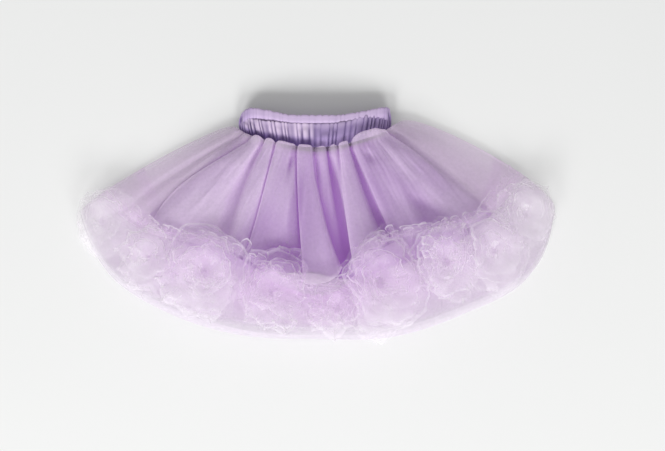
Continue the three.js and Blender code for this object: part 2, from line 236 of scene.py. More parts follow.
def curve(knots, values, i, at):
    """Value at a place between knots i and i + 1, on a smooth curve through them all."""

    def slope(k):
        before, after = max(k - 1, 0), min(k + 1, len(knots) - 1)
        return (values[after] - values[before]) / (knots[after] - knots[before])

    span = knots[i + 1] - knots[i]
    w = clamp((at - knots[i]) / span)
    return (
        values[i] * (1 + 2 * w) * (1 - w) ** 2
        + slope(i) * span * w * (1 - w) ** 2
        + values[i + 1] * w * w * (3 - 2 * w)
        + slope(i + 1) * span * w * w * (w - 1)
    )


def read(rows, column, at):
    """Column of a table at a place between its rows."""
    knots = [row["at"] for row in rows]
    i = 0
    while i < len(knots) - 2 and at > knots[i + 1]:
        i += 1
    return curve(knots, [row[column] for row in rows], i, at)


@lru_cache(maxsize=None)
def read_round(column, turn):
    """The same for the waistband's table, whose last row runs on into its first."""
    count = len(WAISTBAND)
    place = (turn % 1) * count
    i = int(place)
    w = place - i
    a, b, c, d = (WAISTBAND[(i + k) % count][column] for k in (-1, 0, 1, 2))
    return b + 0.5 * w * (c - a + w * (2 * a - 5 * b + 4 * c - d + w * (3 * (b - c) + d - a)))


@lru_cache(maxsize=None)
def fan_line(u, back=False):
    """What plan needs of the line at u: its start, lean, length and bow."""
    turn = 0.5 - u / 4 if back else u / 4
    lean = FAN_ANGLE * u
    return (
        read_round("x", turn) + SIDE_EASE * u**9,
        read_round("seam", turn) - SEAM_GAP,
        math.sin(lean),
        math.cos(lean),
        read(FAN, "length", u),
        read(FAN, "bow", u),
    )


def plan(u, v, back=False):
    """Place on the fan, seen from above. u runs across it and v from the seam to the hem."""
    x, y, sine, cosine, length, bow = fan_line(round(u, 5), back)
    bowed = bow * math.sin(math.pi * clamp(v)) ** BOW_POWER
    return (
        x + sine * length * v + math.copysign(cosine, u) * bowed,
        y - cosine * length * v + abs(sine) * bowed,
    )


@lru_cache(maxsize=None)
def heading_at(u):
    """Share of the length from seam to hem at which the tier is gathered on."""
    return read(HEADING, "down", u)


def crown(u):
    """1 over the middle of the fan, falling off to 0 at its side folds."""
    return 1 - abs(u) ** SIDE_ROUND


def back_lift(v):
    """How far the back net is lifted over the tier's back."""
    return (NET_WALL + LAYER_GAP) * smooth(v, BACK_LIFT_START, BACK_HEADING)


def valley_z(u, s):
    """Height of the outer net's valleys, s of the way from the seam to the heading."""
    opened = lerp(SIDE_TOP, read(BODY_RISE, "z", s), crown(u))
    seam = read_round("z", round(u / 4, 6)) + NET_WALL / 2
    return lerp(seam, opened, smooth(s, 0, SEAM_RISE_END))


def station(line, names, s):
    """Value of a fold line between its three stations, on a parabola, held past its ends."""
    a, b, c = (line[name] for name in names)
    first, second, third = FOLD_STATIONS
    at = clamp(s, first, third)
    return (
        a * (at - second) * (at - third) / ((first - second) * (first - third))
        + b * (at - first) * (at - third) / ((second - first) * (second - third))
        + c * (at - first) * (at - second) / ((third - first) * (third - second))
    )


def streak(along, across, grain, seed):
    """Noise drawn out into streaks that run down the cloth."""
    return noise.noise(Vector((across * grain, along, seed)))


# How far a seed shifts the noise in each direction, and how much finer its second layer is
RIDGE_STEPS = (7.3, 3.1, 5.7)
FINER_RIDGES = 2.1
DRIFT_STEPS = (1.7, 9.2, 4.4)
# Where drift reads the noise for each of its three directions, the same in every run
DRIFT_SHIFTS = (Vector((9.3, 1.5, 7.9)), Vector((2.7, 6.1, 4.3)), Vector((5.9, 8.2, 3.6)))


def noise_place(point, size, seed, steps):
    """Where the noise is read for a point, apart from where other seeds read it."""
    return Vector(point) / size + Vector([seed * step for step in steps])


def ridged(point, size, seed):
    """Crumpled cloth: 1 on sharp crests, falling off into soft hollows."""
    p = noise_place(point, size, seed, RIDGE_STEPS)
    return 1 - 2 * abs(noise.noise(p)) - 0.5 * abs(noise.noise(p * FINER_RIDGES))


def drift(point, size, amount, seed):
    """Soft shift of a point, different from place to place."""
    p = noise_place(point, size, seed, DRIFT_STEPS)
    return Vector([noise.noise(p + shift) for shift in DRIFT_SHIFTS]) * amount


WELD_DISTANCE = 0.00001
CLOSEST = 0.995  # the closest net still lets a little through


def cloth(name, grid, flat, place, welded=False, steepest=0.5):
    """Sheet of cloth from a grid. place(a, b) is the point in millimetres, the opacity (on the casing, its
    painted shade) and the paleness (on some pieces, painted light too) at a, from left to right, and b, from the
    waist's side to the hem's. Where the cloth stands steep, one looks through more of it, so it looks closer
    there."""
    bm = bmesh.new()
    uv = bm.loops.layers.uv.new("cloth")
    dense = bm.verts.layers.float.new("dense")
    pale = bm.verts.layers.float.new("pale")
    bmesh.ops.create_grid(bm, x_segments=grid[0], y_segments=grid[1], size=0.5, calc_uvs=True)
    for vert in bm.verts:
        point, vert[dense], vert[pale] = place(clamp(vert.co.x + 0.5), clamp(0.5 - vert.co.y))
        vert.co = Vector(point) * MM
    for face in bm.faces:
        for loop in face.loops:
            loop[uv].uv = (loop[uv].uv.x * flat[0], loop[uv].uv.y * flat[1])
    if welded:
        bmesh.ops.remove_doubles(bm, verts=bm.verts, dist=WELD_DISTANCE)
    bm.normal_update()
    for vert in bm.verts:
        steep = 1 / max(abs(vert.normal.z), steepest)
        vert[dense] = 1 - (1 - clamp(vert[dense], 0, CLOSEST)) ** steep
    mesh = bpy.data.meshes.new(name)
    bm.to_mesh(mesh)
    bm.free()
    mesh.shade_smooth()
    piece = bpy.data.objects.new(name, mesh)
    bpy.context.scene.collection.objects.link(piece)
    return piece


def sew(name, grid, flat, place, finish, slot, nodes, rests_on, **shape):
    """Makes a sheet of cloth with its finish and its cut, and hides the solids that it stands for.
    What carries it is not used: every piece hangs from the root."""
    piece = cloth(name, grid, flat, place, **shape)
    piece.data.materials.append(finish)
    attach(piece, "root")
    if nodes:
        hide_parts(*nodes)
    return piece


WHITE = (1.0, 1.0, 1.0, 1.0)
WAVE_SCALE = 0.31416  # a wave texture of this scale has one line a metre


class Finish:
    """Small helper that adds nodes to a new material and links them."""

    def __init__(self, name):
        self.material = bpy.data.materials.new(name)
        self.material.use_nodes = True
        self.nodes = self.material.node_tree.nodes
        self.links = self.material.node_tree.links
        self.nodes.clear()

    def add(self, kind, inputs=None, **settings):
        node = self.nodes.new(kind)
        for key, value in settings.items():
            setattr(node, key, value)
        for key, value in (inputs or {}).items():
            if isinstance(value, bpy.types.NodeSocket):
                self.links.new(value, node.inputs[key])
            else:
                node.inputs[key].default_value = value
        return node

    def math(self, operation, first, second):
        return self.add("ShaderNodeMath", {0: first, 1: second}, operation=operation).outputs[0]

    def mix(self, factor, first, second, blend="MIX"):
        inputs = {"Factor": factor, "A": first, "B": second}
        node = self.nodes.new("ShaderNodeMix")
        node.data_type = "RGBA"
        node.blend_type = blend
        for socket in node.inputs:
            if socket.type not in ("RGBA", "VALUE") or not socket.enabled:
                continue
            value = inputs.get(socket.name)
            if isinstance(value, bpy.types.NodeSocket):
                self.links.new(value, socket)
            elif value is not None:
                socket.default_value = value
        return next(o for o in node.outputs if o.type == "RGBA")

    def attribute(self, name):
        return self.add("ShaderNodeAttribute", attribute_name=name).outputs["Fac"]

    def lines(self, direction, pitch, distortion):
        """Fine lines across the cloth's own map, 1 on a line."""
        cloth_map = self.add("ShaderNodeUVMap", uv_map="cloth").outputs["UV"]
        inputs = {"Vector": cloth_map, "Scale": WAVE_SCALE / pitch, "Distortion": distortion, "Detail": 1.0}
        return self.add("ShaderNodeTexWave", inputs, bands_direction=direction).outputs["Fac"]

    def threads(self, pitch):
        """Two sets of crossing threads, 1 on a thread."""
        return self.math("MAXIMUM", self.lines("X", pitch, 0.6), self.lines("Y", pitch, 0.6))

    def mottle(self, scale, detail=3.0):
        """Soft patches, from 0 to 1."""
        place = self.add("ShaderNodeTexCoord").outputs["Object"]
        inputs = {"Vector": place, "Scale": scale, "Detail": detail}
        return self.add("ShaderNodeTexNoise", inputs).outputs["Fac"]

    def ranged(self, value, least, gain):
        """least where the value is 0, and more by the gain where it is 1."""
        return self.add("ShaderNodeMath", {0: value, 1: gain, 2: least}, operation="MULTIPLY_ADD").outputs[0]

    def bump(self, height, strength, distance):
        """Relief that is only in the light."""
        inputs = {"Height": height, "Strength": strength, "Distance": distance}
        return self.add("ShaderNodeBump", inputs).outputs["Normal"]

    def fibres(self, tint, roughness, sheen, sheen_roughness, normal):
        """Close threads with a soft sheen."""
        names = ("Base Color", "Roughness", "Sheen Weight", "Sheen Roughness", "Normal")
        inputs = dict(zip(names, (tint, roughness, sheen, sheen_roughness, normal)))
        return self.add("ShaderNodeBsdfPrincipled", inputs).outputs[0]

    def done(self, surface):
        """The finished material."""
        self.add("ShaderNodeOutputMaterial", {"Surface": surface})
        return self.material


def rgba(colour):
    """A colour as a socket takes it."""
    return (*colour, 1.0)


# How much darker the cloths are in their patches
NET_PATCH = (0.985, 0.975, 0.99, 1.0)


def net_finish(name, colour, pale_and_lit_colour, pitch, through):
    """Fine net: clear between its threads, paler and closer at hems and lips, and paler where the attribute pale
    paints light on it. The last number is the share of the light on its threads that comes through from behind."""
    f = Finish(name)
    threads = f.threads(pitch)
    body = f.mix(f.attribute("pale"), rgba(colour), rgba(pale_and_lit_colour))
    tint = f.mix(1.0, body, f.mix(f.mottle(28.0), NET_PATCH, WHITE), "MULTIPLY")
    uneven = f.ranged(f.mottle(240.0, 2.0), 0.81, 0.22)
    woven = f.ranged(threads, 0.92, 0.16)
    veil = f.math("MULTIPLY", f.math("MULTIPLY", f.attribute("dense"), uneven), woven)
    opacity = f.math("MINIMUM", veil, 1.0)
    normal = f.bump(threads, 0.25, 0.0002)
    front = f.fibres(tint, 0.7, 0.35, 0.45, normal)
    lit = f.add("ShaderNodeBsdfTranslucent", {"Color": tint, "Normal": normal}).outputs[0]
    thread = f.add("ShaderNodeMixShader", {0: through, 1: front, 2: lit}).outputs[0]
    gap = f.add("ShaderNodeBsdfTransparent").outputs[0]
    return f.done(f.add("ShaderNodeMixShader", {0: opacity, 1: gap, 2: thread}).outputs[0])


SATIN_PITCH = 0.0005


def satin_finish(name, colour, shade_colour):
    """Smooth lining cloth with a soft sheen and a close weave."""
    f = Finish(name)
    tint = f.mix(f.mottle(22.0), rgba(shade_colour), rgba(colour))
    return f.done(f.fibres(tint, 0.5, 0.25, 0.4, f.bump(f.threads(SATIN_PITCH), 0.2, 0.0001)))


KNIT_PITCH = 0.0009
KNIT_PATCH = (0.92, 0.92, 0.94, 1.0)


def knit_finish(name, colour, crease_shade_colour, painted_light_colour):
    """Soft knit of the casing: fine wales, painted light where the attribute pale says, on its inside and where
    light falls on its front, and painted shade where the attribute dense says how dark it is, in its creases and
    where its front is shaded."""
    f = Finish(name)
    wales = f.lines("X", KNIT_PITCH, 1.0)
    lit = f.mix(f.attribute("pale"), rgba(colour), rgba(painted_light_colour))
    worn = f.mix(f.mottle(120.0), KNIT_PATCH, WHITE)
    tint = f.mix(f.attribute("dense"), f.mix(1.0, lit, worn, "MULTIPLY"), rgba(crease_shade_colour))
    return f.done(f.fibres(tint, 0.82, 0.3, 0.5, f.bump(wales, 0.35, 0.0002)))


def measure(name, description, default):
    """A size that the user can change."""
    return FloatProperty(name=name, description=description, default=default, unit="LENGTH")


def dye(name, description, default):
    """A colour that the user can change."""
    return FloatVectorProperty(name=name, description=description, default=default, subtype="COLOR")


class SkirtSizes(bpy.types.PropertyGroup):
    gathers: IntProperty(name="Gathers", description="Gathers round the waistband", default=64, min=20)
    gather_depth: measure("Gather depth", "How far a gather stands out", 0.0036)
    wrinkle: measure("Wrinkles", "Depth of the outer net's fine wrinkles", 0.0011)
    lip: measure("Lip", "Width of a pale cut edge of the net", 0.0016)
    hem: measure("Hem", "Depth of the hem tier's turned hem", 0.009)
    crumple: measure("Crumple", "How far the rosettes' net is crumpled", 0.0045)
    net_pitch: measure("Net pitch", "Distance between threads", 0.0011)


class SkirtColours(bpy.types.PropertyGroup):
    net: dye("Net", "Outer net", (0.945, 0.78, 0.99))
    # Paler net at the outer net's cut edges, and its painted highlight on the fold crests
    net_edge_and_highlight: dye("Net edge", "Outer net at its edges", (0.965, 0.84, 0.998))
    ruffle: dye("Ruffle", "Net of the frills and rosettes", (0.9, 0.7, 0.95))
    # Paler net of the lips and rosettes, and the painted light on each rosette's hem side
    ruffle_edge_and_lit_side: dye("Ruffle edge", "Its lips", (0.99, 0.965, 0.993))
    tier: dye("Tier", "Hem tier", (0.905, 0.735, 0.952))
    tier_edge: dye("Tier hem", "Its turned hem", (0.855, 0.815, 0.872))
    lining: dye("Lining", "Lining", (0.29, 0.08, 0.43))
    lining_shade: dye("Lining shade", "Lining in its darker patches", (0.24, 0.065, 0.37))
    band: dye("Waistband", "Casing", (0.34, 0.245, 0.47))
    # Painted shade of the casing, in its creases, along its seam and on the lower left of its front
    band_crease_shade: dye("Crease", "Casing in its creases", (0.1, 0.055, 0.2))
    # Painted light on the casing: on its inside, on the upper left of its front and near its rim
    band_painted_light: dye("Inside", "Casing's inside", (0.88, 0.71, 0.93))


class SkirtOperator:
    """What the operators share."""

    bl_options = {"REGISTER", "UNDO"}

    def execute(self, context):
        self.make(context.scene.skirt_sizes, context.scene.skirt_colours)
        return {"FINISHED"}


# Share of the profile round the casing: outer face, rolled rim, inner face and lower edge.
OUTER_FACE, RIM_ROLL, INNER_FACE = 0.46, 0.56, 0.94
CASING_STEP = 0.25 / len(WAISTBAND)  # how far apart, in turns, its direction is measured
RIM_SWELL = 0.05  # how far the roll stands over the rim, as a share of the casing's depth
RIM_WAVE = 1.2  # how much higher the rim is on a gather's crest than in its crease
SEAM_DIP = 4.0  # how much lower the casing's seam lies than its middle, between the net's heads
BACK_RIM_LIFT = 29.5  # the elastic holds the rim of the back up, close behind the front
LEAST_HEIGHT = 0.15  # the casing lies on the floor, not in it
ROUND = 6.283  # radians in a turn, as exact as the noise needs them
GATHER_UNEVEN = 0.9  # how unevenly the gathers follow each other
GATHER_SLANT = 0.017  # how far, in turns, they spread from the rim to the seam
GATHER_LESS = 0.75  # how much of their depth is lost where they run out towards the rim
INSIDE_GATHERS = 0.2  # share of it that shows on the inner face
# Painted shade on the casing: in the creases of its inner face, along its seam, and on the lower left of its
# front
INSIDE_CREASE_SHADE, SEAM_SHADE, LEFT_SHADE = 0.25, 0.2, 0.75
# How pale the casing is painted where light falls on it: on the left of the front, and near the rim
LEFT_PAINTED_LIGHT, RIM_PAINTED_LIGHT = 0.8, 0.5


def casing_profile(b):
    """How far up from the seam, and how far to the outside, from 1 to -1, the casing's
    surface is at b of the way round its profile."""
    if b < OUTER_FACE:
        return b / OUTER_FACE, 1.0
    if b < RIM_ROLL:
        share = (b - OUTER_FACE) / (RIM_ROLL - OUTER_FACE)
        return 1 + RIM_SWELL * math.sin(math.pi * share), math.cos(math.pi * share)
    if b < INNER_FACE:
        return 1 - (b - RIM_ROLL) / (INNER_FACE - RIM_ROLL), -1.0
    share = (b - INNER_FACE) / (1 - INNER_FACE)
    return 0.0, -1 + 2 * share


def casing_outward(turn):
    """Direction out of the casing's wall at a turn."""
    dx = read_round("x", turn + CASING_STEP) - read_round("x", turn - CASING_STEP)
    dz = read_round("z", turn + CASING_STEP) - read_round("z", turn - CASING_STEP)
    size = math.hypot(dx, dz)
    return -dz / size, dx / size


@lru_cache(maxsize=None)
def gather_at(turn, count):
    """Height of the casing's gathers at a turn, 0 in a crease and 1 on a crest, how far up
    from the seam they run, and how deep they are there."""
    around = turn * ROUND
    place = turn * count + GATHER_UNEVEN * noise.noise(Vector((math.cos(around) * 8, math.sin(around) * 8, 3)))
    number = math.floor(place)
    share = place - number
    crest = math.sin(math.pi * share) ** 0.85
    reach = 0.75 + 0.45 * noise.noise(Vector((number * 1.37, 0.5, 0)))
    deep = 0.7 + 0.5 * noise.noise(Vector((number * 2.11, 4.5, 0)))
    return crest, reach, deep


class SKIRT_OT_waistband(SkirtOperator, bpy.types.Operator):
    """Shirred casing with its elastic: close gathers, a soft rolled rim, painted light inside and painted shade
    in its creases
    """

    bl_idname = "skirt.waistband"
    bl_label = "Waistband"

    def make(self, sizes, colours):
        depth = sizes.gather_depth / MM
        wall = BAND_WALL / 2

        def place(a, b):
            turn = (0.25 - a) % 1
            up, side = casing_profile(b)
            outside = max(side, 0)
            front, right = math.cos(2 * math.pi * turn), math.sin(2 * math.pi * turn)
            slant = GATHER_SLANT * right * (1 - up) * smooth(front, -0.2, 0.4)
            crest, reach, deep = gather_at(round((turn + slant) % 1, 6), sizes.gathers)
            open_up = smooth(up, -0.1, 0.12) * (1 - GATHER_LESS * smooth(up, reach, reach + 0.25))
            gathered = depth * deep * crest * open_up
            swell = gathered * (0.35 + 0.65 * math.sin(math.pi * clamp(up * 0.85 + 0.12)))
            if side > 0:
                away = side * wall * 0.5 + swell
            else:
                away = side * wall + 0.5 * swell * (side + 1)
            if side < 0:
                away -= INSIDE_GATHERS * gathered
            rim, seam = read_round("rim", turn), read_round("seam", turn)
            rim += RIM_WAVE * crest * smooth(up, 0.7, 1.0) - 0.5 * RIM_WAVE
            dip = SEAM_DIP * (1 - smooth(up, 0, 0.5)) * smooth(front, 0.0, 0.6)
            dip -= BACK_RIM_LIFT * clamp(0.08 - 0.94 * front) ** 0.8 * smooth(up, 0, 0.8)
            out_x, out_z = casing_outward(turn)
            x = read_round("x", turn) + out_x * away
            z = max(read_round("z", turn) + out_z * away - dip, LEAST_HEIGHT)

            left = smooth(-right, -0.05, 0.12) * smooth(front, -0.1, 0.5)
            # Painted shade, carried in dense: in the gathers' creases, less on the inner face, along the seam and
            # on the front's lower left
            crease = min((1 - crest) ** 1.4 * 1.25, 1.0) * open_up * deep
            shaded = crease * (1.0 if side > 0 else INSIDE_CREASE_SHADE)
            shaded += SEAM_SHADE * (1 - smooth(up, 0.0, 0.35)) * outside
            shaded += LEFT_SHADE * left * (1 - smooth(up, 0.1, 0.5)) * outside
            # Painted light, carried in pale: on the inner face, more towards the back, on the front's upper left
            # and near the rim, most on the gathers' crests
            inner = smooth(-side, -0.6, 0.6) * lerp(0.2, 0.45, smooth(-front, 0.25, 0.6))
            lit = LEFT_PAINTED_LIGHT * left * smooth(up, 0.25, 0.6)
            lit = max(lit, RIM_PAINTED_LIGHT * smooth(up, 0.72, 0.95) * lerp(0.55, 1.0, left))
            pale = max(inner, lit * (0.4 + 0.6 * crest))
            return (x, lerp(seam, rim, up), z), clamp(shaded), clamp(pale)

        flat = (0.52, 0.033)
        finish = knit_finish("casing_knit", colours.band, colours.band_crease_shade, colours.band_painted_light)
        about = (finish, "waistband_knit", ["waistband"], "outer_net_front")
        sew("waistband_casing", (1104, 36), flat, place, *about, welded=True)


LINING_START, LINING_END = 0.03, 1.3  # in lengths to the heading; its hem cuts it off sooner
LINING_LOBE = {"u": 0.16, "half_u": 0.09, "more": 0.035}  # where its hem hangs lowest
LINING_WAVE = 0.012  # how far the hem waves elsewhere
LINING_TURNED = 0.002  # what lies past the hem is drawn together in it
LINING_FOLDS = 2.6  # height of its soft folds
LINING_THICKNESS = 0.0005


class SKIRT_OT_lining(SkirtOperator, bpy.types.Operator):
    """Front and back of the darker lining, which shows through the net"""

    bl_idname = "skirt.lining"
    bl_label = "Lining"

    def make(self, sizes, colours):
        finish = satin_finish("lining_cloth", colours.lining, colours.lining_shade)

        def front(a, b):
            u = LINING_REACH * (2 * a - 1)
            s = lerp(LINING_START, LINING_END, b)
            lobe = math.exp(-(((u - LINING_LOBE["u"]) / LINING_LOBE["half_u"]) ** 2))
            hem = LINING_HEM + LINING_LOBE["more"] * lobe + LINING_WAVE * noise.noise(Vector((u * 9, 1, 0)))
            v = heading_at(round(u, 5)) * s
            if v > hem:
                v = hem + LINING_TURNED * (b - 0.5)
            x, y = plan(u, v)
            drop = LINING_DROP * crown(u) * smooth(s, 0, LINING_DROP_END)
            fold = LINING_FOLDS * streak(s * 1.3, u, 11, 2.0) * smooth(s, 0.05, 0.4)
            z = valley_z(u, min(s, 1)) - NET_WALL - LAYER_GAP - drop + min(fold, 1.0) * crown(u)
            return (x, y, z), 1.0, 0.0

        def back(a, b):
            u = LINING_REACH * (2 * a - 1)
            v = lerp(0.04, LINING_HEM, b)
            x, y = plan(u, v, back=True)
            fold = 0.5 * streak(v * 3, u, 14, 5.0)
            return (x, y, NET_WALL + LAYER_GAP + 1.0 + back_lift(v) + fold), 1.0, 0.0

        flat = (0.42, 0.17)
        for name, node, place, on in (
            ("lining_panel_front", "lining_front", front, "outer_net_front"),
            ("lining_panel_back", "lining_back", back, "outer_net_back"),
        ):
            piece = sew(name, (140, 40), flat, place, finish, "lining_satin", [node], on)
            piece.modifiers.new("thickness", "SOLIDIFY").thickness = LINING_THICKNESS


HALF_WIDTH = 330  # of the whole skirt
LEAST_STRIDE = 5.0  # between two fold lines


def fold_knots():
    """Share of the grid at each fold line, so that its columns are evenly spaced on the cloth."""
    knots = [0.0]
    for a, b in zip(FOLD_LINES, FOLD_LINES[1:]):
        across = (b["middle"] - a["middle"]) * HALF_WIDTH
        knots.append(knots[-1] + max(math.hypot(across, b["mid"] - a["mid"]), LEAST_STRIDE))
    return [knot / knots[-1] for knot in knots]


FOLD_KNOTS = fold_knots()
HEAD_END = 0.075  # where the rounded heads of the gathered panels have reached their height
HEAD_BULGE = 16.0  # how far those heads hang over the casing
HEAD_SINK = 2.2  # how much lower their gathered edge is
WIDE_HEAD = {"u": 0.5, "half_u": 0.17, "more": 0.7}  # the widest panel hangs over furthest
OUTER_END = 1.06  # where the outer net ends under the tier, in lengths to the heading
SMALL_FOLDS = 1.5  # height of the small folds that run out below the waist
FOLD_MEAN = 5.0  # mean height of the outer net over its valleys
# The panel that lies on the tier, and how much shorter it ends than the rest, left and right
DROOP = {"low": -0.05, "high": 0.125, "lift": 11.0, "start": 0.8, "short": 0.1, "shorter": 0.135}


# How close the net's threads look on the crests, from one side fold to the other.
CREST_VEIL = table(
    "at veil",
    (-1, 0.14), (-0.82, 0.66), (-0.6, 0.73), (-0.2, 0.6), (0.0, 0.48), (0.2, 0.6), (0.36, 0.46),
    (0.5, 0.48), (0.68, 0.66), (0.8, 0.6), (1, 0.32),
)
# The same in the valleys between them, where the net lies close on the lining.
VALLEY_VEIL = table(
    "at veil",
    (-1, 0.14), (-0.82, 0.62), (-0.6, 0.64), (-0.4, 0.5), (-0.2, 0.28), (0.0, 0.2), (0.15, 0.13),
    (0.3, 0.19), (0.45, 0.2), (0.65, 0.58), (0.8, 0.64), (1, 0.28),
)
# Where the net is drawn flat on the lining, and how much clearer it looks there
CLEARER = table(
    "u half_u start end less",
    (-0.22, 0.16, 0.42, 0.85, 0.5),
    (-0.12, 0.04, 0.1, 0.4, 0.4),
    (0.59, 0.055, 0.35, 0.7, 0.32),
)


@lru_cache(maxsize=None)
def fold_row(s):
    """Every fold line's place across the fan, and every one's height, at one distance from
    the seam."""
    places = [station(line, ("waist", "middle", "heading"), s) for line in FOLD_LINES]
    return places, [station(line, ("high", "mid", "low"), s) for line in FOLD_LINES]


def fold_point(t, s):
    """Place across the fan and height of the outer net at t of the way across its own cloth."""
    i = min(max(bisect_right(FOLD_KNOTS, t) - 1, 0), len(FOLD_KNOTS) - 2)
    return [curve(FOLD_KNOTS, values, i, t) for values in fold_row(s)]


def droop_at(u, s):
    """1 where the drooping panel lies over the tier."""
    left = smooth(u, DROOP["low"] - 0.015, DROOP["low"] + 0.01)
    right = 1 - smooth(u, DROOP["high"] - 0.03, DROOP["high"])
    return left * right * smooth(s, DROOP["start"], 0.98)


def outer_z(u, s):
    """Mean height of the outer net, which the tier is sewn to."""
    return valley_z(u, min(s, 1.0)) + FOLD_MEAN * smooth(s, 0, 0.35) * crown(u)


class SKIRT_OT_outer_net(SkirtOperator, bpy.types.Operator):
    """Front and back of the outer net, gathered onto the waistband in large soft folds"""

    bl_idname = "skirt.outer_net"
    bl_label = "Outer net"

    def make(self, sizes, colours):
        wrinkle = sizes.wrinkle / MM
        finish = net_finish("outer_tulle", colours.net, colours.net_edge_and_highlight, sizes.net_pitch, 0.22)

        def front(a, b):
            hem_u = fold_point(a, 1.0)[0]
            free_end = smooth(hem_u, DROOP["low"] - 0.012, DROOP["low"])
            free_end *= 1 - smooth(hem_u, DROOP["high"] - 0.006, DROOP["high"] + 0.006)
            slant = clamp((hem_u - DROOP["low"]) / (DROOP["high"] - DROOP["low"]))
            end = OUTER_END - free_end * lerp(DROOP["short"], DROOP["shorter"], slant)
            s = end * (0.35 * b + 0.65 * b**1.7)
            u, rise = fold_point(a, round(s, 6))
            u = clamp(u, -1, 1)
            down = heading_at(round(u, 4))
            head = math.sqrt(max(0.0, 1 - (1 - min(s / HEAD_END, 1)) ** 2))
            rise *= head
            hollow = 0.0
            for dent in DENTS:
                off = ((u - dent["u"]) / dent["half_u"]) ** 2 + ((s - dent["s"]) / dent["half_s"]) ** 2
                if off < 4:
                    hollow += dent["depth"] * math.exp(-1.6 * off)
            small = SMALL_FOLDS * streak(s * 1.5, u, 28, 1.0) * (1 - smooth(s, 0.05, 0.45)) * head
            fine = wrinkle * (streak(s * 3.0, u, 24, 8.0) + 0.4 * streak(s * 5.0, u + 0.03 * s, 55, 6.0))
            over = droop_at(u, s)
            z = valley_z(u, min(s, 1.0)) + (rise - hollow + small + fine * smooth(s, 0.0, 0.2)) * crown(u)
            z += DROOP["lift"] * over
            z -= HEAD_SINK * (1 - head)
            x, y = plan(u, down * (s + 0.03 * over))
            if s < HEAD_END:
                wide_head = 1 + WIDE_HEAD["more"] * math.exp(-(((u - WIDE_HEAD["u"]) / WIDE_HEAD["half_u"]) ** 4))
                hang = HEAD_BULGE * wide_head * clamp(rise / 9) * crown(u)
                y += hang * math.sin(math.pi * s / HEAD_END) * (1 - s / HEAD_END)
            crest = smooth(rise - hollow, 0.5, 9)
            on_crest = read(CREST_VEIL, "veil", u)
            in_valley = min(read(VALLEY_VEIL, "veil", u), on_crest)
            clear = 0.0
            for patch in CLEARER:
                inside = math.exp(-(((u - patch["u"]) / patch["half_u"]) ** 4))
                clear = max(clear, patch["less"] * inside * smooth(s, patch["start"], patch["end"]))
            veil = lerp(in_valley, on_crest, crest) * (1 - clear) + 0.1 * streak(s * 2.0, u, 9, 3.0)
            edge = max(smooth(abs(u), 0.985, 1.0), free_end * smooth(b, 0.985, 0.993))
            # Painted highlight: paler on the fold crests, which catch the light, less so towards the sides and
            # where the net is clearer; the cut edges are paler too
            pale = 0.35 * crest * (1 - smooth(abs(u), 0.66, 0.85)) * (1 - 1.3 * clear) + 0.5 * edge
            return (x, y, z), veil + 0.25 * edge, clamp(pale)

        def back(a, b):
            u = 2 * a - 1
            v = (BACK_HEADING + BACK_OVERLAP) * b
            x, y = plan(u, v, back=True)
            pleat = 0.9 * streak(v * 2.5, u, 34, 2.0) + 0.5 * streak(v * 2.5, u, 80, 4.0)
            z = NET_WALL / 2 + back_lift(v) + clamp(pleat, -0.6, 1.0)
            return (x, y, z), lerp(0.55, 0.25, smooth(abs(u), 0.75, 0.95)), 0.1

        about = (finish, "outer_net", ["outer_front"], "lining_panel_front")
        sew("outer_net_front", (560, 90), (0.6, 0.19), front, *about)
        about = (finish, "outer_net", ["outer_back"], "hem_tier_under")
        sew("outer_net_back", (260, 40), (0.55, 0.15), back, *about)


# Lines of the hem tier as in its solid: on the outer net up to FRILL_END, then to the hem.
FRILL_END = 1.06
TIER_RISE_START = 0.25
TIER_SWING = 5.0  # how far its soft waves swing up and down
TIER_WAVES = 10  # across the front
TIER_LENGTH = 95  # from its gathered line to the hem, about the same all round
TIER_CRUSH = (3.2, 1.1)  # height of its large and small crumples
CRUSH_LEVEL = 1.5  # their mean, taken off again
TIER_LEAST = 1.2  # the tier stays over the floor


def tier_point(u, q, wave, lower=0.0):
    """Point of the hem tier's upper skin, q of the way from its gathered line to the hem."""
    down = heading_at(round(u, 5))
    x, y = plan(u, lerp(down * FRILL_END, 1.0, q))
    lying = outer_z(u, FRILL_END) + NET_WALL + LAYER_GAP
    puffed = lerp(lerp(SIDE_TOP, HEM_TOP, q), read(TIER_RISE, "z", q), crown(u))
    swing = 2 * TIER_SWING * wave * (1 - q) * q * crown(u)
    low = lower * math.sin(math.pi * clamp(q * 1.1)) * crown(u)
    return x, y, lerp(lying, puffed + swing, smooth(q, 0, TIER_RISE_START)) - low


